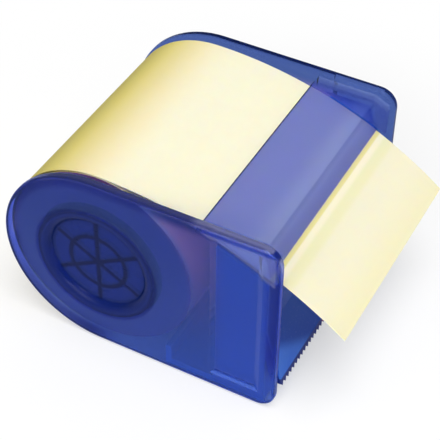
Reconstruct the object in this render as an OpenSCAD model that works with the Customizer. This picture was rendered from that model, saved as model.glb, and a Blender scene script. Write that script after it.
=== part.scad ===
// Sticky note roll dispenser. A roll of note paper turns on two hub plugs between two side plates.
// The strip leaves the top of the roll, runs under the top guide and over the shelf of the chute,
// hangs out at the front, and is torn off on the toothed cutter below.
// X points forward, Y from the left plate to the right plate and Z up. Sizes are in millimetres.

/* [Paper] */
// Width of the roll and of its strip
paper_w = 60; // [45:1:76]
// Outer radius of the wound paper
roll_r = 25.4; // [22:0.1:28]
// Outer radius of the cardboard core
core_r = 17.4; // [15:0.1:19]
// Wall of the cardboard core
core_wall = 2.9; // [1.5:0.1:4]
// Radius of the curl that the strip keeps from the roll
curl_r = 106; // [95:1:130]
// Length of the strip along its curl, from the top of the roll to the cut end
strip_len = 70.5; // [66:0.5:90]
// Thickness of the strip
paper_t = 0.2; // [0.1:0.05:0.4]

/* [Side plates] */
// Thickness of a plate
side_t = 2.5; // [2:0.1:4]
// Radial margin of the plates around the roll
roll_margin = 1.3; // [1:0.1:4]
// Distance from the roll's axis to the front edge of the plates
side_front = 50; // [49:0.1:60]
// Radius of the plates' front corners
corner_r = 5; // [2:0.5:10]
// Rounding of the plates' edges
edge_r = 0.8; // [0.3:0.1:0.9]
// Gap between the paper's edge and a plate
side_gap = 1.5; // [1.3:0.1:4]

/* [Channel in the plates] */
// Distance from the roll's axis to the rear border of the channel
channel_rear = 32.1; // [30:0.1:36]
// Width of the channel with its borders
channel_w = 13.6; // [8:0.1:15]
// Distance from the plates' top edge down to the channel's head
channel_head = 1.8; // [1:0.1:6]
// Height of the channel's foot above the table
channel_foot = 4.5; // [2:0.1:12]
// Depth of the channel
channel_d = 0.7; // [0.3:0.1:1]
// Width of the sloping borders
channel_slope = 1.4; // [0.6:0.1:2.5]

/* [Hub plugs] */
// How far the flange stands out over the barrel
flange_over = 2.2; // [1.8:0.1:3.5]
// Thickness of the flange
flange_t = 1; // [0.8:0.1:1.5]
// How far the barrel reaches into the core
hub_reach = 4.5; // [2:0.1:10]
// Wall of the barrel
hub_wall = 1.4; // [1.2:0.1:2]
// Bevel at the barrel's inner end
hub_bevel = 0.6; // [0.2:0.1:1]
// Depth of the dish
dish_d = 1.4; // [1:0.1:1.8]
// Rounding from the plate's face into the dish
dish_round = 2.4; // [1.9:0.1:3]
// Thickness of the dish's floor
dish_floor = 1.6; // [1:0.1:2.5]
// Number of ribs that cross behind the dish
rib_n = 3; // [2:1:5]
// Thickness of the ribs
rib_t = 1.2; // [0.8:0.1:2]
// Depth of the ribs
rib_d = 2.8; // [1:0.1:3.2]
// Outer radius of the ring that ties the ribs together
ring_r = 8.5; // [5:0.1:10]

/* [Top guide] */
// Distance from the roll's axis to the guide's rear edge
guide_rear = 27.4; // [26:0.1:30]
// Length of the guide's flat top
guide_len = 17.2; // [12:0.1:19]
// Thickness of the guide's walls
guide_t = 1.2; // [0.9:0.1:1.6]
// Thickness left at the guide's rear edge
guide_edge = 0.5; // [0.3:0.1:0.8]
// How far the front lip leans forward
lip_lean = 2; // [0:0.1:3]
// Rounding of the fold between the flat top and the lip
fold_r = 1.2; // [0.5:0.1:2.5]
// Thickness of the ears that meet the plates
ear_t = 1.2; // [0.8:0.1:1.3]
// Height of the ears above the flat top
ear_rise = 2; // [0.5:0.1:2.4]
// Distance from the guide's rear edge back to the ears
ear_setback = 1.2; // [0.5:0.1:3]
// How far the ears reach forward past the flat top
ear_nose = 4; // [2.5:0.1:4.5]
// Drop of the ears' slanting front corner
ear_drop = 2; // [0.5:0.1:4]

/* [Chute] */
// Distance from the roll's axis to the rear wall
box_rear = 32.3; // [31:0.1:36]
// Distance from the roll's axis to the front wall's outer face
box_front = 46.6; // [44:0.1:47]
// Thickness of the walls and of the shelf
wall = 1.6; // [1.2:0.1:2.2]
// Thickness of the floor
floor_t = 2; // [1.2:0.1:3]
// Distance from the roll's axis to the floor's rear end
floor_rear = 18.9; // [16:0.1:28]
// Height of the floor's turned-up rear end
floor_lip = 6.3; // [3:0.1:8]

/* [Cutter] */
// Height where the apron leaves the chute's front wall
apron_top = 24; // [16:0.5:32]
// Thickness of the apron
apron_t = 2.2; // [1.8:0.1:2.8]
// How far the tooth tips stand in front of the plates
tip_out = 0.3; // [0:0.1:1]
// Height of the tooth tips above the table
tip_z = 6.3; // [4:0.1:10]
// Thickness of the cutter
cutter_t = 0.9; // [0.6:0.1:1.2]
// How far the cutter stands out of the apron
cutter_out = 3; // [2:0.1:4]
// How deep the cutter is seated in the apron
cutter_in = 3; // [2:0.1:5]
// Spacing of the teeth
tooth_pitch = 1.6; // [1.2:0.1:3]
// Depth of the teeth
tooth_d = 1.1; // [0.6:0.1:1.8]

/* [Clearances] */
// Between the strip and the guide or the shelf
slot_gap = 0.5; // [0.3:0.1:0.8]
// Between the roll and the underside of the strip
strip_lift = 0.3; // [0.3:0.1:0.6]
// Between the hub's barrel and the core, on the radius
run_gap = 0.1; // [0.05:0.01:0.1]
// Between pieces that are pressed or bonded together
seat_gap = 0.05; // [0.02:0.01:0.1]

/* [Hidden] */
$fn = 96;
// A little more than a cut needs, so that it opens the face
over = 1;

// Sides: the roll's axis lies as high as the plates' rear radius
side_r = roll_r + roll_margin;
axis_z = side_r;
inner_y = paper_w / 2 + side_gap;
outer_y = inner_y + side_t;
span_y = 2 * (inner_y - seat_gap);
side_top = 2 * side_r;

// Hub: its barrel runs in the core's bore
core_bore = core_r - core_wall;
hub_r = core_bore - run_gap;
hub_in_r = hub_r - hub_wall;
flange_r = hub_r + flange_over;
hub_end = paper_w / 2 - hub_reach;
dish_r = hub_in_r + dish_round;
dish_back = outer_y - dish_d - dish_floor;

// Strip: its upper face lies on a circle whose centre is straight below the roll's axis
path_top = axis_z + roll_r + strip_lift + paper_t;
curl_z = path_top - curl_r;
strip_deg = strip_len / curl_r * 180 / PI;
strip_reach = curl_r * sin(strip_deg);
shelf_r = curl_r - paper_t - slot_gap;
guide_r = curl_r + slot_gap;

// Guide: set by the height of the strip under its rear edge
fold_x = guide_rear + guide_len;
guide_top = path_z(guide_rear) + slot_gap + guide_edge;
lip_low = path_z(fold_x + lip_lean);
lip_turn = atan2(guide_top - lip_low, lip_lean);
fold_back = fold_r * tan(lip_turn / 2);
ear_top = guide_top + ear_rise;
ear_front = fold_x + ear_nose;
ear_low = path_z(ear_front);

// Cutter: lies in the apron's middle plane, from the front wall to the tooth tips
apron_root = [box_front - wall / 2, apron_top];
tip = [side_front + tip_out, tip_z];
apron_len = norm(tip - apron_root);
apron_turn = atan2(tip.y - apron_root.y, tip.x - apron_root.x);
tooth_n = floor((span_y - 2 * seat_gap) / tooth_pitch);
teeth_w = tooth_n * tooth_pitch;

// The part's origin is on the table, in the middle of its length and width
origin_x = (max(strip_reach, side_front) - side_r) / 2;

// Height of the strip's upper face at a distance x in front of the roll's axis
function path_z(x) = curl_z + sqrt(pow(curl_r, 2) - pow(x, 2));

// Stands a flat outline, drawn in X and Z from below the roll's axis, upright across the part
module stand() {
  translate([-origin_x, 0, 0])
    rotate([90, 0, 0])
      children();
}

// Half section of a plate out to its rim, with both edges rounded
module rim_section(r) {
  square([r - edge_r, side_t]);
  translate([0, edge_r])
    square([r, side_t - 2 * edge_r]);
  for (v = [edge_r, side_t - edge_r])
    translate([r - edge_r, v])
      circle(edge_r);
}

// A plate with a round rear end and two rounded front corners, centred on the roll's axis
module plate_blank() {
  corner = [side_front - corner_r, side_r - corner_r];
  rotate([0, 0, 90])
    rotate_extrude(angle = 180)
      rim_section(side_r);
  rotate([90, 0, 90])
    linear_extrude(corner.x)
      for (m = [0, 1])
        mirror([m, 0])
          rim_section(side_r);
  translate([corner.x, corner.y, 0])
    rotate([90, 0, 0])
      linear_extrude(2 * corner.y)
        rim_section(corner_r);
  for (m = [0, 1])
    mirror([0, m, 0])
      translate([corner.x, corner.y, 0])
        rotate_extrude(angle = 90)
          rim_section(corner_r);
}

// The channel in a plate's outer face, with four sloping borders
module channel() {
  far = channel_rear + channel_w;
  head = side_top - channel_head;
  intersection() {
    rotate([90, 0, 180])
      mirror([1, 0, 0])
        linear_extrude(side_top + over)
          polygon([[channel_rear, 0], [channel_rear + channel_slope, -channel_d],
                   [far - channel_slope, -channel_d], [far, 0], [far, over], [channel_rear, over]]);
    translate([channel_rear - over, 0, 0])
      rotate([90, 0, 90])
        linear_extrude(channel_w + 2 * over)
          polygon([[channel_foot, 0], [channel_foot + channel_slope, -channel_d],
                   [head - channel_slope, -channel_d], [head, 0], [head, over], [channel_foot, over]]);
  }
}

// Outline of the space inside the chute's box, open at the bottom
module box_space() {
  intersection() {
    translate([box_rear + wall, -over])
      square([box_front - box_rear - 2 * wall, side_top]);
    translate([0, curl_z])
      circle(shelf_r - wall);
  }
}

// A side plate as it stands on the left, with its outer face at outer_y
module side_plate() {
  difference() {
    translate([0, axis_z, inner_y])
      plate_blank();
    translate([0, axis_z, inner_y - over])
      cylinder(r = hub_r + seat_gap, h = side_t + 2 * over);
    translate([0, axis_z, outer_y - flange_t - seat_gap])
      cylinder(r = flange_r + seat_gap, h = flange_t + over);
    translate([0, 0, outer_y])
      channel();
  }
}

// Half outline of a hub plug before its dish is cut: the flange and the barrel
module hub_outline() {
  translate([0, outer_y - flange_t])
    square([flange_r, flange_t]);
  polygon([[0, hub_end], [hub_r - hub_bevel, hub_end], [hub_r, hub_end + hub_bevel],
           [hub_r, outer_y - flange_t], [0, outer_y - flange_t]]);
}

// Half section of a hub plug, with its dish and with the rounding that leads into the dish
module hub_section() {
  difference() {
    hub_outline();
    translate([0, outer_y - dish_d])
      square([dish_r, dish_d + over]);
    translate([0, hub_end - over])
      square([hub_in_r, dish_back - hub_end + over]);
  }
  intersection() {
    hub_outline();
    translate([dish_r, outer_y - dish_round])
      circle(dish_round);
    translate([hub_in_r, outer_y - dish_d])
      square([dish_round, dish_d + over]);
  }
}

// A hub plug as it sits in the left plate, with a ring and crossing ribs behind its dish
module hub_plug() {
  rib_root = rib_d + dish_floor / 2;
  translate([0, axis_z, 0]) {
    rotate_extrude()
      hub_section();
    translate([0, 0, dish_back - rib_d]) {
      difference() {
        cylinder(r = ring_r, h = rib_root);
        translate([0, 0, -over])
          cylinder(r = ring_r - rib_t, h = rib_root + 2 * over);
      }
      for (i = [0 : rib_n - 1])
        rotate([0, 0, (i + 0.5) * 180 / rib_n])
          translate([0, 0, rib_root / 2])
            cube([2 * hub_in_r + hub_wall, rib_t, rib_root], center = true);
    }
  }
}

// Outline of the chute from the side, before its box is hollowed from below
module chute_outline() {
  intersection() {
    translate([box_rear, 0])
      square([box_front - box_rear, side_top]);
    translate([0, curl_z])
      circle(shelf_r);
  }
  translate([floor_rear, 0])
    square([box_front - floor_rear, floor_t]);
  translate([floor_rear, 0])
    square([wall, floor_lip]);
  in_apron()
    translate([-apron_t, -apron_t / 2])
      square([apron_len - cutter_out + apron_t, apron_t]);
}

// Turns X along the apron, from the front wall down to the tooth tips
module in_apron() {
  translate(apron_root)
    rotate(apron_turn)
      children();
}

// What the rounding takes off the guide's fold
module fold_cut() {
  reach = fold_r + over;
  translate([fold_x - fold_back, guide_top - fold_r])
    difference() {
      polygon([[0, 0], [0, reach], [fold_back + over, reach],
               [reach * sin(lip_turn), reach * cos(lip_turn)]]);
      circle(fold_r);
    }
}

module left_side() {
  color("RoyalBlue")
    stand()
      side_plate();
}

module right_side() {
  color("RoyalBlue")
    mirror([0, 1, 0])
      stand()
        side_plate();
}

module left_hub() {
  color("MediumBlue")
    stand()
      hub_plug();
}

module right_hub() {
  color("MediumBlue")
    mirror([0, 1, 0])
      stand()
        hub_plug();
}

module top_guide() {
  color("SlateBlue")
    stand() {
      linear_extrude(span_y, center = true)
        difference() {
          union() {
            translate([guide_rear, guide_top - guide_t])
              square([guide_len, guide_t]);
            polygon([[fold_x - guide_t, guide_top], [fold_x, guide_top],
                     [fold_x + lip_lean, lip_low], [fold_x + lip_lean - guide_t, lip_low]]);
          }
          translate([0, curl_z])
            circle(guide_r);
          fold_cut();
        }
      for (s = [-1, 1])
        translate([0, 0, s * (span_y - ear_t) / 2])
          linear_extrude(ear_t, center = true)
            difference() {
              polygon([[guide_rear + ear_setback, ear_low], [guide_rear + ear_setback, ear_top],
                       [fold_x, ear_top], [ear_front, ear_top - ear_drop], [ear_front, ear_low]]);
              translate([0, curl_z])
                circle(guide_r);
            }
    }
}

module front_chute() {
  color("RoyalBlue")
    stand()
      difference() {
        linear_extrude(span_y, center = true)
          difference() {
            chute_outline();
            in_apron()
              translate([apron_len - cutter_out - cutter_in, -cutter_t / 2 - seat_gap])
                square([cutter_in + over, cutter_t + 2 * seat_gap]);
          }
        linear_extrude(span_y - 2 * wall, center = true)
          box_space();
      }
}

module cutter() {
  root = apron_len - cutter_out - cutter_in + seat_gap;
  gum = apron_len - tooth_d;
  color("Navy")
    stand()
      in_apron()
        rotate([90, 0, 0])
          linear_extrude(cutter_t, center = true) {
            translate([root, -teeth_w / 2])
              square([gum - root, teeth_w]);
            for (i = [0 : tooth_n - 1])
              translate([gum, (i + 0.5) * tooth_pitch - teeth_w / 2])
                polygon([[-tooth_d, -tooth_pitch / 2], [0, -tooth_pitch / 2], [tooth_d, 0],
                         [0, tooth_pitch / 2], [-tooth_d, tooth_pitch / 2]]);
          }
}

module roll_core() {
  color("Tan")
    stand()
      translate([0, axis_z, -paper_w / 2])
        difference() {
          cylinder(r = core_r, h = paper_w);
          translate([0, 0, -over])
            cylinder(r = core_bore, h = paper_w + 2 * over);
        }
}

module paper_roll() {
  color("LemonChiffon")
    stand()
      translate([0, axis_z, -paper_w / 2])
        difference() {
          cylinder(r = roll_r, h = paper_w);
          translate([0, 0, -over])
            cylinder(r = core_r, h = paper_w + 2 * over);
        }
}

module paper_strip() {
  color("LemonChiffon")
    stand()
      translate([0, curl_z, 0])
        rotate([0, 0, 90 - strip_deg])
          rotate_extrude(angle = strip_deg)
            translate([curl_r - paper_t, -paper_w / 2])
              square([paper_t, paper_w]);
}

left_side();
right_side();
left_hub();
right_hub();
top_guide();
front_chute();
cutter();
roll_core();
paper_roll();
paper_strip();
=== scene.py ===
from math import atan2, hypot, pi, radians

import bpy
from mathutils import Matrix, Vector


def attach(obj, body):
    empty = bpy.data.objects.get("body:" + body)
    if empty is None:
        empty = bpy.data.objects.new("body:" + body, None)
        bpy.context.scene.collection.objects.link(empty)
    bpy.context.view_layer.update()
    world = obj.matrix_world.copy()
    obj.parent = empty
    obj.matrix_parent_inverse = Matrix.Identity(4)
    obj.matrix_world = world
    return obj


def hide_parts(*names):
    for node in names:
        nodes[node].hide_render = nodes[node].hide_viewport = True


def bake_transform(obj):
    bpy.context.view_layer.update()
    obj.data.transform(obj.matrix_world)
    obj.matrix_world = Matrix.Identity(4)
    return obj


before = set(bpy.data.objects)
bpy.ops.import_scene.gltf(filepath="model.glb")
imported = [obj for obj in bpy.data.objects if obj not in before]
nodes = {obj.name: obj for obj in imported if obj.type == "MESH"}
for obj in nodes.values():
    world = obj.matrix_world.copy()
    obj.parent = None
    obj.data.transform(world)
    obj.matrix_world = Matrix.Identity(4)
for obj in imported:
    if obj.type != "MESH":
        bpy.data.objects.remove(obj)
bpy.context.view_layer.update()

# Side plates: two D-shaped plates, injection moulded in translucent deep blue styrene, with a shallow
# channel in the outer face. They are bonded to the ends of the chute and of the top guide, and carry
# the hub plugs.

# the roll's axis, the plates' rear radius, front edge and channel; lengths along X start at the axis
axis_x, axis_z = -0.019358, 0.0267
side_r, side_front = 0.0267, 0.05
channel_mid, channel_half = (0.0389, 0.02805), (0.0068, 0.02355)
channel_slope = 0.0014


def new_material(name):
    """An empty material with its tree, its shader and a position input in the piece's own frame."""
    material = bpy.data.materials.new(name)
    material.use_nodes = True
    tree = material.node_tree
    place = tree.nodes.new("ShaderNodeTexCoord")
    return material, tree, tree.nodes["Principled BSDF"], place.outputs["Object"]


def put_on(material, *names):
    """Gives a material to carried-over CAD nodes."""
    for name in names:
        slots = nodes[name].data.materials
        slots.clear()
        slots.append(material)


def new_group(name, inputs, outputs):
    """An empty node group with its inputs and outputs, given as pairs of a name and a kind."""
    group = bpy.data.node_groups.new(name, "ShaderNodeTree")
    for in_out, sockets in (("INPUT", inputs), ("OUTPUT", outputs)):
        for socket, kind in sockets:
            group.interface.new_socket(socket, in_out=in_out, socket_type="NodeSocket" + kind)
    inside, outside = group.nodes.new("NodeGroupInput"), group.nodes.new("NodeGroupOutput")
    return group, inside.outputs, outside.inputs


def maths(tree, operation, *values):
    """One step of arithmetic: numbers or sockets in, one socket out."""
    node = tree.nodes.new("ShaderNodeMath")
    node.operation = operation
    for socket, value in zip(node.inputs, values):
        if isinstance(value, (int, float)):
            socket.default_value = value
        else:
            tree.links.new(value, socket)
    return node.outputs["Value"]


def ramp(tree, value, low, high, start=0.0, end=1.0, soft=True):
    """Goes from a start to an end between two levels of a value, softly or in a straight line."""
    node = tree.nodes.new("ShaderNodeMapRange")
    node.interpolation_type = "SMOOTHSTEP" if soft else "LINEAR"
    tree.links.new(value, node.inputs["Value"])
    for socket, number in (("From Min", low), ("From Max", high), ("To Min", start), ("To Max", end)):
        node.inputs[socket].default_value = number
    return node.outputs["Result"]


def noise(tree, place, scale, detail, distortion=0.0):
    """Cloudy noise at a position."""
    node = tree.nodes.new("ShaderNodeTexNoise")
    tree.links.new(place, node.inputs["Vector"])
    for socket, number in (("Scale", scale), ("Detail", detail), ("Distortion", distortion)):
        node.inputs[socket].default_value = number
    return node.outputs["Fac"]


def blend(tree, share, first, second):
    """A colour between two others, each a socket or a plain colour."""
    node = tree.nodes.new("ShaderNodeMix")
    node.data_type = "RGBA"
    tree.links.new(share, node.inputs["Factor"])
    for socket, value in ((node.inputs["A"], first), (node.inputs["B"], second)):
        if isinstance(value, tuple):
            socket.default_value = (*value, 1)
        else:
            tree.links.new(value, socket)
    return node.outputs["Result"]


# the levels of the noise that spread the polish, and those of its peaks that make scuffs
wear_levels, scuff_levels = (0.3, 0.7), (0.66, 0.74)


def moulded_skin_group():
    """Moulded plastic: slow flow clouds in the tint, an uneven polish, hairline scuffs and a fine peel."""
    group, given, result = new_group(
        "moulded_skin",
        (("Position", "Vector"), ("Tint", "Color"), ("Deep Tint", "Color"), ("Polish", "Float")),
        (("Tint", "Color"), ("Roughness", "Float"), ("Height", "Float")),
    )
    place, link = given["Position"], group.links.new
    flow = noise(group, place, scale=45, detail=3, distortion=0.6)
    link(blend(group, flow, given["Tint"], given["Deep Tint"]), result["Tint"])

    handling = noise(group, place, scale=160, detail=6)
    wear = ramp(group, handling, *wear_levels, start=-0.05, end=0.07, soft=False)
    stretch = group.nodes.new("ShaderNodeMapping")
    stretch.inputs["Rotation"].default_value = (0.3, 0.5, 0.2)
    stretch.inputs["Scale"].default_value = (60, 1500, 1500)
    link(place, stretch.inputs["Vector"])
    streak = noise(group, stretch.outputs["Vector"], scale=1, detail=1)
    hairline = ramp(group, streak, *scuff_levels, end=0.2, soft=False)
    worn = maths(group, "ADD", given["Polish"], wear)
    link(maths(group, "ADD", worn, hairline), result["Roughness"])

    link(noise(group, place, scale=900, detail=2), result["Height"])
    return group


moulded_skin = moulded_skin_group()


# the gloss of the body, the haze of what shows through and the height of the peel; where the stain is
# deep, mostly as painted shade, its tint keeps this share, and where it is pale, as painted light, it lets
# this colour through
body_ior, clear_haze, peel_height = 1.4, 0.1, 0.0001
deep_share, painted_light_stain = 0.5, (0.85, 0.9, 1.0)


def styrene(name, tint, deep_tint, polish, stain, clearness, ior=1.45, gloss=0.5, peel=0.04,
            clear_kind="Refraction", depth=None, deep_and_shade_stain=None, painted_light_tint=None, painted_warm_light_stain=None):
    """Translucent moulded styrene: a glossy body tint, and the stain of what shows through it.

    The depth group's masks say where the stain is warmer, deeper or paler. Warm and pale are painted light,
    deep is painted shade, and only the hub's ribs and ring are deep where the moulding is thick.
    """
    material, tree, shader, place = new_material(name)
    link = tree.links.new
    skin = tree.nodes.new("ShaderNodeGroup")
    skin.node_tree = moulded_skin
    skin.inputs["Tint"].default_value = (*tint, 1)
    skin.inputs["Deep Tint"].default_value = (*deep_tint, 1)
    skin.inputs["Polish"].default_value = polish
    link(place, skin.inputs["Position"])
    bump = tree.nodes.new("ShaderNodeBump")
    bump.inputs["Strength"].default_value = peel
    bump.inputs["Distance"].default_value = peel_height
    link(skin.outputs["Height"], bump.inputs["Height"])
    shader.inputs["IOR"].default_value = body_ior
    shader.inputs["Specular IOR Level"].default_value = gloss
    link(skin.outputs["Roughness"], shader.inputs["Roughness"])
    link(bump.outputs["Normal"], shader.inputs["Normal"])
    clear = tree.nodes.new("ShaderNodeBsdf" + clear_kind)
    clear.inputs["Roughness"].default_value = clear_haze
    clear.inputs["IOR"].default_value = ior
    link(bump.outputs["Normal"], clear.inputs["Normal"])

    body, seen = skin.outputs["Tint"], stain
    if depth:
        thickness = tree.nodes.new("ShaderNodeGroup")
        thickness.node_tree = depth
        link(place, thickness.inputs["Position"])
        deep_body = tuple(deep_share * channel for channel in deep_tint)
        # the warm and pale masks paint light, the deep mask paints shade, save the hub's ribs and ring
        for mask, mask_tint, mask_stain in (
            ("Warm", None, painted_warm_light_stain), ("Deep", deep_body, deep_and_shade_stain), ("Pale", painted_light_tint, painted_light_stain)
        ):
            share = thickness.outputs.get(mask)
            if share and mask_tint:
                body = blend(tree, share, body, mask_tint)
            if share:
                seen = blend(tree, share, seen, mask_stain)
        link(seen, clear.inputs["Color"])
    else:
        clear.inputs["Color"].default_value = (*stain, 1)
    link(body, shader.inputs["Base Color"])
    mixed = tree.nodes.new("ShaderNodeMixShader")
    mixed.inputs["Fac"].default_value = clearness
    link(shader.outputs["BSDF"], mixed.inputs[1])
    link(clear.outputs["BSDF"], mixed.inputs[2])
    link(mixed.outputs["Shader"], tree.nodes["Material Output"].inputs["Surface"])
    return material


def split(tree, place):
    """The three parts of a position."""
    node = tree.nodes.new("ShaderNodeSeparateXYZ")
    tree.links.new(place, node.inputs["Vector"])
    return node.outputs


def depth_group(name, *masks):
    """An empty group for the masks of a moulding's stain and of its painted light and shade, with the three
    parts of its position.
    """
    group, given, result = new_group(name, [("Position", "Vector")], [(mask, "Float") for mask in masks])
    return group, split(group, given["Position"]), result


def product(tree, first, *others):
    """All the values multiplied together."""
    for value in others:
        first = maths(tree, "MULTIPLY", first, value)
    return first


def largest(tree, first, *others):
    """The largest of the values."""
    for value in others:
        first = maths(tree, "MAXIMUM", first, value)
    return first


def minus(tree, one, other):
    """One value less another."""
    return maths(tree, "SUBTRACT", one, other)


def off_by(tree, value, middle):
    """How far a value is from a middle, either way."""
    return maths(tree, "ABSOLUTE", minus(tree, value, middle))


def radius(tree, one, other):
    """How far a point is from an axis, from its two offsets."""
    squares = [maths(tree, "POWER", offset, 2.0) for offset in (one, other)]
    return maths(tree, "SQRT", maths(tree, "ADD", *squares))


def fall(tree, value, low, high):
    """Falls softly from 1 to 0 between two levels of a value."""
    return ramp(tree, value, low, high, start=1.0, end=0.0)


# where painted shade deepens the stain, as pairs of levels between which it changes: the band along the
# rim, the lower rear, the dark ring round the plug's hole, and the top of the roll's end behind the plate
rim_rise = (0.008, 0.02)
low_shade_band, low_end, low_top = (0.0034, 0.005), (-0.004, 0.006), (0.024, 0.034)
hole_shade_ring, hole_ring_w = 0.0165, (0.0006, 0.0013)
disc_shift, disc_edge = (0.0018, 0.0032), (0.0238, 0.0258)
disc_shade, disc_shade_rise = 0.25, (0.02, 0.048)
# painted warm light: the glow of the lit paper beside the roll, more so higher up
warm_end, warm_rise = (0.029, 0.036), (0.01, 0.042)
# painted light, as pale stain: highlights on the channel's borders and on the top edge, most of all by the
# guide and on its inner side, and the light of the paper in the wedge of the front corner past the strip
line_w, line_highlight = (0.00005, 0.00025), 0.08
top_start, top_share = (0.026, 0.029), (0.3, 1.0)
top_outer, outer_share = (0.0331, 0.0336), (1.0, 0.4)
top_rise, top_w = (0.046, 0.05), (0.0006, 0.0009)
strip_slope, strip_foot = 0.471, (0.0653, 0.0659)
wedge_top, wedge_front, wedge_light = (0.0512, 0.0518), (0.0485, 0.0492), 0.45


def plate_depth_group(name, rim_shade_band, edge_pale):
    """Painted shade, as deep stain, along the rim, at the lower rear, round the plug and at the top of the
    roll's end.
    Painted warm light beside the roll. Painted highlights on the channel's borders and the top edge, and
    painted light in the wedge past the strip.
    """
    group, place, result = depth_group(name, "Deep", "Pale", "Warm")
    along, up, height = minus(group, place["X"], axis_x), minus(group, place["Z"], axis_z), place["Z"]

    to_round = minus(group, side_r, radius(group, maths(group, "MINIMUM", along, 0.0), up))
    rim = maths(group, "MINIMUM", to_round, minus(group, side_front, along))
    # painted shade along the rim and at the lower rear
    band = product(group, fall(group, rim, *rim_shade_band), ramp(group, height, *rim_rise))
    low_rear_shade = product(
        group, fall(group, rim, *low_shade_band), fall(group, along, *low_end), fall(group, height, *low_top)
    )
    # a painted dark ring round the plug's hole, and painted shade over the top of the roll's end
    ring = fall(group, off_by(group, radius(group, along, up), hole_shade_ring), *hole_ring_w)
    from_disc = radius(group, minus(group, along, disc_shift[0]), minus(group, up, disc_shift[1]))
    off_disc = ramp(group, from_disc, *disc_edge)
    shade = product(
        group, ramp(group, height, *disc_shade_rise, end=disc_shade), minus(group, 1.0, off_disc)
    )
    group.links.new(largest(group, band, low_rear_shade, ring, shade), result["Deep"])

    # painted warm light beside the roll
    beside = product(group, off_disc, fall(group, along, *warm_end), ramp(group, height, *warm_rise))
    group.links.new(beside, result["Warm"])

    border = largest(group, *(
        minus(group, off_by(group, value, mid), half)
        for value, mid, half in zip((along, height), channel_mid, channel_half)
    ))
    to_border = maths(group, "MINIMUM", *(
        maths(group, "ABSOLUTE", maths(group, "ADD", border, inset)) for inset in (0.0, channel_slope)
    ))
    # painted highlights along the channel's borders
    line = product(group, fall(group, to_border, *line_w), line_highlight)
    by_guide = ramp(group, along, *top_start, *top_share)
    inward = ramp(group, maths(group, "ABSOLUTE", place["Y"]), *top_outer, *outer_share)
    # painted highlight on the top edge by the guide
    top = product(group, fall(group, rim, *top_w), by_guide, ramp(group, height, *top_rise), inward)
    # painted light of the paper in the wedge past the strip
    past_strip = ramp(group, maths(group, "MULTIPLY_ADD", along, strip_slope, height), *strip_foot)
    wedge = product(
        group, past_strip, fall(group, height, *wedge_top), fall(group, along, *wedge_front), wedge_light
    )
    lit = product(group, largest(group, top, wedge), edge_pale)
    group.links.new(largest(group, line, lit), result["Pale"])
    return group


# one styrene for both plates: the right plate's deeper stains and wider rim band are painted shade, as it
# is lit from behind, and its edge_pale of 0 leaves out the painted light by the guide and past the strip
for side, rim_shade_band, edge_pale, plate_stain, rim_shade_stain, bend in (
    ("left_side", (0.0012, 0.0045), 1.0, (0.53, 0.66, 0.98), (0.3, 0.375, 0.88), 1.4),
    ("right_side", (0.004, 0.009), 0.0, (0.55, 0.67, 0.9), (0.33, 0.43, 0.73), 1.25),
):
    plate_styrene = styrene(
        side + "_styrene", tint=(0.01, 0.07, 0.5), deep_tint=(0.008, 0.06, 0.43), polish=0.2,
        stain=plate_stain, clearness=0.81, ior=bend, gloss=0.2, clear_kind="Glass",
        depth=plate_depth_group(side + "_depth", rim_shade_band, edge_pale), deep_and_shade_stain=rim_shade_stain,
        painted_light_tint=(0.6, 0.62, 1.0), painted_warm_light_stain=(0.88, 0.71, 1.0),
    )
    put_on(plate_styrene, side)

# Chute: hollow moulded box with the shelf under the strip, the floor and the apron, all one moulding of
# the same deep blue styrene. Its end walls are bonded to the plates.

# pairs of levels, as for the plates: the end walls with painted light, more at their foot, the floor behind
# the box, also painted lighter, and the apron with painted shade, which is lightest at its lower near
# corner
chute_end = 0.03145
end_skin, box_end = (chute_end - 0.0012, chute_end - 0.0002), (0.0465, 0.0468)
wall_foot, wall_pale = (0.005, 0.03), (0.65, 0.35)
floor_end, floor_top = (0.032, 0.034), (0.007, 0.009)
apron_lean, apron_light, apron_shade = 0.66, (-0.0035, 0.001), 0.85


def chute_depth_group():
    """Painted light on the end walls, more so at their foot, and on the thin floor behind the box. Painted
    shade up the apron, all but its lower near corner.
    """
    group, place, result = depth_group("chute_depth", "Deep", "Pale")
    along, height = minus(group, place["X"], axis_x), place["Z"]
    end = ramp(group, maths(group, "ABSOLUTE", place["Y"]), *end_skin)
    # painted light at the foot of the end walls, as from the bright floor
    foot_glow = ramp(group, height, *wall_foot, *wall_pale)
    walls = product(group, end, fall(group, along, *box_end), foot_glow)
    # painted light on the floor behind the box, which lies in shade under the roll
    bare_floor = product(group, fall(group, along, *floor_end), fall(group, height, *floor_top))
    group.links.new(largest(group, walls, bare_floor), result["Pale"])
    # painted shade of the tongue up the apron, lighter at its lower near corner
    lean = maths(group, "MULTIPLY_ADD", place["Y"], apron_lean, height)
    high = ramp(group, lean, *apron_light, end=apron_shade)
    group.links.new(product(group, high, minus(group, 1.0, end)), result["Deep"])
    return group


chute_styrene = styrene(
    "chute_styrene", tint=(0.13, 0.36, 0.81), deep_tint=(0.03, 0.11, 0.72), polish=0.2,
    stain=(0.5, 0.62, 0.95), clearness=0.3, ior=1.12, gloss=0.05,
    depth=chute_depth_group(), deep_and_shade_stain=(0.2, 0.25, 0.7), painted_light_tint=(0.26, 0.7, 1.0),
)
put_on(chute_styrene, "front_chute")

# Cutter: toothed strip of a denser, darker plastic, along the whole width of the chute.
# It is pressed into a slot in the apron's lower edge.

cutter_plastic = styrene(
    "cutter_plastic", tint=(0.012, 0.03, 0.22), deep_tint=(0.008, 0.02, 0.17), polish=0.3,
    stain=(0.35, 0.35, 0.85), clearness=0.1, gloss=0.15,
)
put_on(cutter_plastic, "cutter")

# Top guide: thin bridge over the strip with a leaning front lip, moulded in a paler and clearer styrene,
# so the paper lights it from below. Its ears are bonded to the plates.

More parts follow.
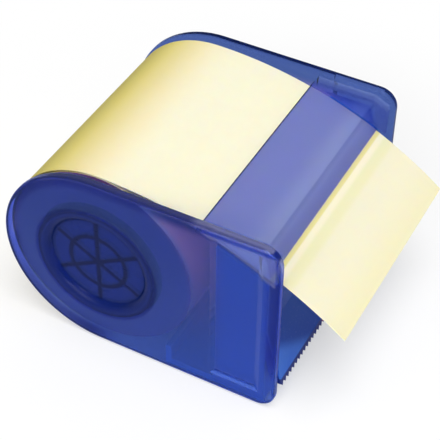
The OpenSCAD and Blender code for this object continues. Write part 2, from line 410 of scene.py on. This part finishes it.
# pairs of levels, as for the plates: the painted shade at the rear edge, the painted highlight rising up to
# the fold, the lip with its painted shade, and the ears with their painted shade and the painted highlights
# on their crests, which bend down at the front
fold_x, guide_rear = 0.0446, 0.0274
rear_edge_shade = (guide_rear + 0.00005, guide_rear + 0.0003)
fold_rise, fold_highlight = (fold_x - 0.007, fold_x - 0.001), 0.26
lip_start, lip_top, lip_foot = (fold_x - 0.0004, fold_x), (0.0504, 0.0508), (0.0421, 0.0424)
lip_rise, lip_shade = (0.0463, 0.0498), (0.1, 0.4)
ear_skin, ear_shade = (0.0301, 0.0303), 0.2
ear_bend, ear_top, ear_slope = 0.0444, 0.0513, 0.556
crest_w, crest_highlight = (0.0001, 0.0004), (1.0, 0.4)


def guide_depth_group():
    """Painted shade down the lip, most of all just below the fold, at the cut edges and on the ears.
    Painted highlights before the fold, on the ears and most of all along the ears' crests.
    """
    group, place, result = depth_group("guide_depth", "Deep", "Pale")
    along, height = minus(group, place["X"], axis_x), place["Z"]
    lip = product(group, ramp(group, along, *lip_start), fall(group, height, *lip_top))
    # painted shade down the lip and at the cut edges
    shaded = product(group, lip, ramp(group, height, *lip_rise, *lip_shade))
    foot = product(group, lip, fall(group, height, *lip_foot))
    deep = largest(group, shaded, fall(group, along, *rear_edge_shade), foot)
    ear = ramp(group, maths(group, "ABSOLUTE", place["Y"]), *ear_skin)
    bare_deep = product(group, deep, minus(group, 1.0, ear))
    group.links.new(maths(group, "MULTIPLY_ADD", ear, ear_shade, bare_deep), result["Deep"])
    # painted highlight before the fold and along the ears' crests
    rise = product(group, ramp(group, along, *fold_rise, end=fold_highlight), minus(group, 1.0, lip))
    past = largest(group, minus(group, along, ear_bend), 0.0)
    under = minus(group, ear_top, maths(group, "MULTIPLY_ADD", past, ear_slope, height))
    crest = ramp(group, under, *crest_w, *crest_highlight)
    group.links.new(largest(group, rise, product(group, ear, crest)), result["Pale"])
    return group


guide_styrene = styrene(
    "guide_styrene", tint=(0.03, 0.08, 0.55), deep_tint=(0.02, 0.07, 0.5), polish=0.14,
    stain=(0.715, 0.745, 0.975), clearness=0.92, ior=1.06, peel=0.015,
    depth=guide_depth_group(), deep_and_shade_stain=(0.35, 0.4, 0.7), painted_light_tint=(0.6, 0.72, 1.0),
)
put_on(guide_styrene, "top_guide")

# Core: tube of dark grey board, wound from glued strips on a slant, with a visible butt seam. Its near
# black is partly painted shade, for the shade inside the roll's bore.
# The plies show as rings at its ends, and it turns on the plugs' barrels.

# how far the seam runs on one turn, its width as a share of a turn, and the plies
seam_pitch, seam_w = 0.045, (0.004, 0.01)
ply_t, ply_depth = 0.0004, 0.2
# board tones kept near black, in part as painted shade inside the roll's bore
board_dark, board_light, grain_levels = (0.03, 0.03, 0.033), (0.06, 0.06, 0.064), (0.35, 0.65)
ply_tint, seam_tint = (0.02, 0.02, 0.022), (0.008, 0.008, 0.009)

core_board, tree, shader, place = new_material("core_board")
grain = noise(tree, place, scale=700, detail=6)
board = blend(tree, ramp(tree, grain, *grain_levels, soft=False), board_dark, board_light)
spot = split(tree, place)
along, up = minus(tree, spot["X"], axis_x), minus(tree, spot["Z"], axis_z)
plies = maths(tree, "SINE", product(tree, radius(tree, along, up), 2 * pi / ply_t))
board = blend(tree, maths(tree, "MULTIPLY_ADD", plies, ply_depth, ply_depth), board, ply_tint)
turn = maths(tree, "DIVIDE", maths(tree, "ARCTAN2", up, along), 2 * pi)
slant = maths(tree, "FRACT", maths(tree, "MULTIPLY_ADD", spot["Y"], 1 / seam_pitch, turn))
seam = fall(tree, off_by(tree, slant, 0.5), *seam_w)
tree.links.new(blend(tree, seam, board, seam_tint), shader.inputs["Base Color"])
shader.inputs["Roughness"].default_value = 0.9
put_on(core_board, "roll_core")

# Wound paper: a ring of pale yellow note paper on the core, with painted shade round its rear. Its ends
# show the edges of the turns,
# painted dark mauve: painted shade, tinted as they look through the plates.

roll_r, core_r, paper_w = 0.02545, 0.0174, 0.060
roll_sides = 192
paper_tint, paper_cloud, paper_rear_shade = (0.985, 0.89, 0.685), (0.965, 0.865, 0.645), (0.76, 0.64, 0.17)
# the turns' edges are painted dark mauve, as painted shade
shaded_edge_tint, shaded_edge_cloud, shaded_edge_rear = (0.29, 0.13, 0.28), (0.23, 0.1, 0.22), (0.27, 0.12, 0.26)
# painted shade: the paper is deeper in tone round the rear of the roll, and deepest at the very rear
rear_shade_fade = (axis_x - 0.017, axis_x + 0.007)
far_shade_fade, far_shade_share = (axis_x - 0.021, axis_x - 0.0105), 0.68


def paper_fibre_group():
    """Uncoated note paper: soft cloudy formation and fine fibres."""
    group, given, result = new_group(
        "paper_fibre",
        (("Position", "Vector"), ("Tint", "Color"), ("Cloud Tint", "Color")),
        (("Tint", "Color"), ("Height", "Float")),
    )
    cloud = noise(group, given["Position"], scale=260, detail=5)
    group.links.new(blend(group, cloud, given["Tint"], given["Cloud Tint"]), result["Tint"])
    group.links.new(noise(group, given["Position"], scale=2600, detail=4), result["Height"])
    return group


paper_fibre = paper_fibre_group()


def note_paper(name, tint, cloud_tint, rear_shade_tint, bands=()):
    """Matt note paper, with painted shade towards its rear along X. A band across the sheet, painted shade
    as well, has its start and end along X, if it ends, and its tint.
    """
    material, tree, shader, place = new_material(name)
    link = tree.links.new
    fibre = tree.nodes.new("ShaderNodeGroup")
    fibre.node_tree = paper_fibre
    fibre.inputs["Tint"].default_value = (*tint, 1)
    fibre.inputs["Cloud Tint"].default_value = (*cloud_tint, 1)
    link(place, fibre.inputs["Position"])
    forward = split(tree, place)["X"]
    # painted shade round the rear of the roll, deepest at the very rear
    tone = blend(tree, fall(tree, forward, *rear_shade_fade), fibre.outputs["Tint"], rear_shade_tint)
    far_shade_tint = tuple(far_shade_share * channel for channel in rear_shade_tint)
    tone = blend(tree, fall(tree, forward, *far_shade_fade), tone, far_shade_tint)
    for start, end, band_tint in bands:
        share = ramp(tree, forward, *start)
        if end:
            share = product(tree, share, fall(tree, forward, *end))
        tone = blend(tree, share, tone, band_tint)
    link(tone, shader.inputs["Base Color"])
    bump = tree.nodes.new("ShaderNodeBump")
    bump.inputs["Strength"].default_value = 0.12
    bump.inputs["Distance"].default_value = 0.00005
    link(fibre.outputs["Height"], bump.inputs["Height"])
    link(bump.outputs["Normal"], shader.inputs["Normal"])
    shader.inputs["Roughness"].default_value = 0.82
    shader.inputs["Specular IOR Level"].default_value = 0.25
    shader.inputs["Subsurface Weight"].default_value = 1
    shader.inputs["Subsurface Radius"].default_value = (1, 0.85, 0.5)
    shader.inputs["Subsurface Scale"].default_value = 0.0001
    return material


bpy.ops.object.select_all(action="DESELECT")
bpy.ops.mesh.primitive_cylinder_add(
    vertices=roll_sides, radius=roll_r, depth=paper_w,
    location=(axis_x, 0, axis_z), rotation=(pi / 2, 0, 0),
)
note_roll = bpy.context.object
note_roll.name = "note_roll"
bpy.ops.object.transform_apply(location=True, rotation=True, scale=True)
note_roll.data.materials.append(note_paper("sheet_paper", paper_tint, paper_cloud, paper_rear_shade))
note_roll.data.materials.append(note_paper("shaded_edge_paper", shaded_edge_tint, shaded_edge_cloud, shaded_edge_rear))


def pick(piece, kind, wanted):
    """Selects, in edit mode, only those faces or edges of a piece that pass a test."""
    bpy.ops.object.mode_set(mode="EDIT")
    bpy.ops.mesh.select_mode(type={"polygons": "FACE", "edges": "EDGE"}[kind])
    bpy.ops.object.mode_set(mode="OBJECT")
    for part in (piece.data.vertices, piece.data.edges, piece.data.polygons):
        part.foreach_set("select", [False] * len(part))
    for element in getattr(piece.data, kind):
        element.select = bool(wanted(element))
    bpy.ops.object.mode_set(mode="EDIT")


def at_ends(piece, test):
    """A test that an edge passes where both of its ends do."""
    return lambda edge: all(test(piece.data.vertices[i].co) for i in edge.vertices)


# the turns end a little unevenly, so the end faces step out and in from ring to ring, and all in all
# each ring lies a hair further in than the last
turn_steps = (5e-5, -7e-5, 9e-5, -4e-5, 6e-5, -8e-5, 3e-5, 5e-5, -6e-5, 4e-5)
turn_inset = 1e-5
ring_w = (roll_r - core_r) / len(turn_steps)
bore_r = core_r + ring_w / 2
end_facing, smooth_angle = 0.9, radians(30)

pick(note_roll, "polygons", lambda face: abs(face.normal.y) > end_facing)
note_roll.active_material_index = 1
bpy.ops.object.material_slot_assign()
for step in turn_steps:
    bpy.ops.mesh.inset(thickness=ring_w, depth=step - turn_inset)
bpy.ops.mesh.delete(type="FACE")
pick(note_roll, "edges", at_ends(note_roll, lambda p: hypot(p.x - axis_x, p.z - axis_z) < bore_r))
bpy.ops.mesh.bridge_edge_loops()
bpy.ops.mesh.select_all(action="SELECT")
bpy.ops.mesh.normals_make_consistent(inside=False)
bpy.ops.object.mode_set(mode="OBJECT")
bpy.ops.object.shade_smooth_by_angle(angle=smooth_angle)
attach(note_roll, "roll")
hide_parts("paper_roll")

# Hub plugs: dished plugs of the same styrene, pushed through the plates into the roll's core.
# Their floors carry a ring and ribs on the back, which show through as darker lines.

# the ribs and the ring behind the floor, the dish with its sloped wall, and the flange; the wall and the
# flange get painted shade
spoke_n, rib_t = 6, 0.0012
ring_mid, dish_floor_r, dish_r = 0.0079, 0.013, 0.0154
line_soft = (0.3 * rib_t, 0.7 * rib_t)
wall_in, wall_out = (dish_floor_r - 0.001, dish_floor_r + 0.0008), (dish_r - 0.0003, dish_r + 0.0003)
flange_in = (dish_r, dish_r + 0.0006)
wall_shade, flange_shade = 0.45, 0.6


def hub_depth_group():
    """Deep along the ring and the ribs behind the floor, where the moulding is thick. Painted shade on the
    dish's wall and on the flange.
    """
    group, place, result = depth_group("hub_depth", "Deep")
    along, up = minus(group, place["X"], axis_x), minus(group, place["Z"], axis_z)
    reach = radius(group, along, up)
    turn = maths(group, "ADD", maths(group, "ARCTAN2", up, along), 2 * pi)
    off_turn = minus(group, maths(group, "MODULO", turn, 2 * pi / spoke_n), pi / spoke_n)
    off_rib = maths(group, "ABSOLUTE", product(group, reach, maths(group, "SINE", off_turn)))
    nearest = maths(group, "MINIMUM", off_rib, off_by(group, reach, ring_mid))
    on_floor = maths(group, "GREATER_THAN", dish_floor_r, reach)
    lines = product(group, fall(group, nearest, *line_soft), on_floor)
    # painted shade on the dish's wall and on the flange
    wall = minus(group, ramp(group, reach, *wall_in), ramp(group, reach, *wall_out))
    inner = maths(group, "ADD", lines, product(group, wall, wall_shade))
    flange = ramp(group, reach, *flange_in, end=flange_shade)
    group.links.new(largest(group, inner, flange), result["Deep"])
    return group


hub_styrene = styrene(
    "hub_styrene", tint=(0.015, 0.055, 0.43), deep_tint=(0.01, 0.045, 0.36), polish=0.2,
    stain=(0.42, 0.49, 0.84), clearness=0.7, ior=1.2,
    depth=hub_depth_group(), deep_and_shade_stain=(0.06, 0.06, 0.18),
)
put_on(hub_styrene, "left_hub", "right_hub")

# Strip: the outer turn of the paper. It comes up round the roll's rear, leaves it at the top with the
# curl that it keeps, slips under the guide and hangs out at the front, where the last note was torn.

# the height at which it leaves the roll, its curl and its length from there to the torn end
strip_top, curl_r, strip_len = 0.0526, 0.106, 0.0705
curl_z = strip_top - curl_r
paper_t = 0.00016
strip_steps, wrap_steps, across_n = 64, 80, 10
# the flat start between the two curves, the turn round the roll's rear, how far a full turn of it would
# draw in, and how closely points are told apart
lead, wrap, turn_in, snap = 0.0005, radians(175), 0.00055, 0.000001
wrap_x = axis_x - lead
# painted shade: beyond the lip the sheet is deeper in tone, more so towards its end. A painted shadow of
# the lip lies as a yellow line where it leaves the lip, and a fainter painted shade lies beyond that
lip_x = axis_x + 0.0466
lip_shadow_x = lip_x + 0.0009
strip_shade_bands = (
    ((lip_shadow_x, lip_shadow_x + 0.003), None, (0.875, 0.835, 0.63)),
    ((lip_shadow_x + 0.009, lip_shadow_x + 0.019), None, (0.86, 0.815, 0.54)),
    ((lip_shadow_x + 0.0008, lip_shadow_x + 0.0018), (lip_shadow_x + 0.003, lip_shadow_x + 0.0045), (0.85, 0.82, 0.53)),
    ((lip_x - 0.0004, lip_x - 0.0002), (lip_shadow_x - 0.0004, lip_shadow_x), (0.82, 0.75, 0.33)),
)

bpy.ops.object.select_all(action="DESELECT")
bpy.ops.mesh.primitive_grid_add(x_subdivisions=1, y_subdivisions=across_n, size=1)
note_strip = bpy.context.object
note_strip.name = "note_strip"
note_strip.scale = (lead, paper_w, 1)
note_strip.location = (axis_x - lead / 2, 0, strip_top)
bpy.ops.object.transform_apply(location=True, rotation=True, scale=True)
pick(note_strip, "edges", at_ends(note_strip, lambda p: abs(p.x - axis_x) < snap))
bpy.ops.mesh.spin(
    steps=strip_steps, angle=-strip_len / curl_r, center=(axis_x, 0, curl_z), axis=(0, 1, 0)
)
pick(note_strip, "edges", at_ends(note_strip, lambda p: abs(p.x - wrap_x) < snap))
bpy.ops.mesh.spin(steps=wrap_steps, angle=wrap, center=(wrap_x, 0, axis_z), axis=(0, 1, 0))
bpy.ops.object.mode_set(mode="OBJECT")
for point in note_strip.data.vertices:
    along, up = point.co.x - wrap_x, point.co.z - axis_z
    reach = hypot(along, up)
    if point.co.x < axis_x - snap or reach < strip_top - axis_z + snap:
        turned = atan2(-along, up) % (2 * pi)
        shrink = 1 - turn_in * turned / (2 * pi) / reach
        point.co.x = wrap_x + along * shrink
        point.co.z = axis_z + up * shrink
bpy.ops.object.mode_set(mode="EDIT")
bpy.ops.mesh.select_all(action="SELECT")
bpy.ops.mesh.remove_doubles(threshold=snap)
bpy.ops.mesh.normals_make_consistent(inside=False)
bpy.ops.object.mode_set(mode="OBJECT")
note_strip.data.materials.append(
    note_paper("strip_paper", paper_tint, paper_cloud, paper_rear_shade, strip_shade_bands)
)
bpy.ops.object.shade_smooth()
thick = note_strip.modifiers.new("thickness", "SOLIDIFY")
thick.thickness = paper_t
thick.offset = -1
bpy.ops.object.modifier_apply(modifier=thick.name)
bpy.ops.object.shade_smooth_by_angle(angle=smooth_angle)
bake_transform(note_strip)
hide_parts("paper_strip")

# Floor, light and camera: a plain white table under soft overhead light, seen as in the photograph.
# The table keeps the part's shadow close by and is plain white further off.

floor_size, floor_z = 6, -0.0002
white_near, white_from = 0.5, (0.07, 0.14)

bpy.ops.object.select_all(action="DESELECT")
bpy.ops.mesh.primitive_plane_add(size=floor_size, location=(0, 0, floor_z))
floor = bpy.context.object
floor.name = "floor"
table, tree, shader, place = new_material("table")
shader.inputs["Base Color"].default_value = (0.99, 0.99, 0.99, 1)
shader.inputs["Roughness"].default_value = 0.9
shader.inputs["Specular IOR Level"].default_value = 0
rays = tree.nodes.new("ShaderNodeLightPath").outputs
through = largest(tree, rays["Is Glossy Ray"], rays["Is Transmission Ray"])
spot = tree.nodes.new("ShaderNodeVectorMath")
spot.operation = "LENGTH"
tree.links.new(place, spot.inputs[0])
away = ramp(tree, spot.outputs["Value"], *white_from)
whiteness = ramp(tree, spot.outputs["Value"], *white_from, start=white_near)
seen_white = product(tree, rays["Is Camera Ray"], whiteness)
white_share = largest(tree, seen_white, product(tree, through, away))
white = tree.nodes.new("ShaderNodeEmission")
paper_white = tree.nodes.new("ShaderNodeMixShader")
tree.links.new(white_share, paper_white.inputs["Fac"])
tree.links.new(shader.outputs["BSDF"], paper_white.inputs[1])
tree.links.new(white.outputs["Emission"], paper_white.inputs[2])
tree.links.new(paper_white.outputs["Shader"], tree.nodes["Material Output"].inputs["Surface"])
floor.data.materials.append(table)

scene = bpy.context.scene
scene.view_settings.view_transform = "Standard"
sky_light = 0.34
world = bpy.data.worlds.new("studio")
world.use_nodes = True
scene.world = world
tree = world.node_tree
sky = tree.nodes["Background"]
sky.inputs["Color"].default_value = (1, 1, 1, 1)
rays = tree.nodes.new("ShaderNodeLightPath").outputs
sky_level = maths(tree, "MULTIPLY_ADD", rays["Is Camera Ray"], 1 - sky_light, sky_light)
tree.links.new(sky_level, sky.inputs["Strength"])


def softbox(name, place, aim, size, power):
    """A square area lamp that faces a point."""
    lamp = bpy.data.lights.new(name, "AREA")
    lamp.size = size
    lamp.energy = power
    stand = bpy.data.objects.new(name, lamp)
    stand.location = place
    stand.rotation_euler = (Vector(place) - Vector(aim)).to_track_quat("Z", "Y").to_euler()
    scene.collection.objects.link(stand)


part_middle = (0, 0, 0.03)
softbox("key", (0.5, -0.4, 1.9), part_middle, size=1.2, power=26)
softbox("fill", (0.1, -1.5, 0.6), part_middle, size=1.2, power=13)

camera = bpy.data.objects.new("camera", bpy.data.cameras.new("camera"))
camera.location = (0.117902, -0.231216, 0.266029)
camera.rotation_euler = (radians(46.856), radians(-0.594), radians(28.068))
camera.data.lens = 112.06
scene.collection.objects.link(camera)
scene.camera = camera
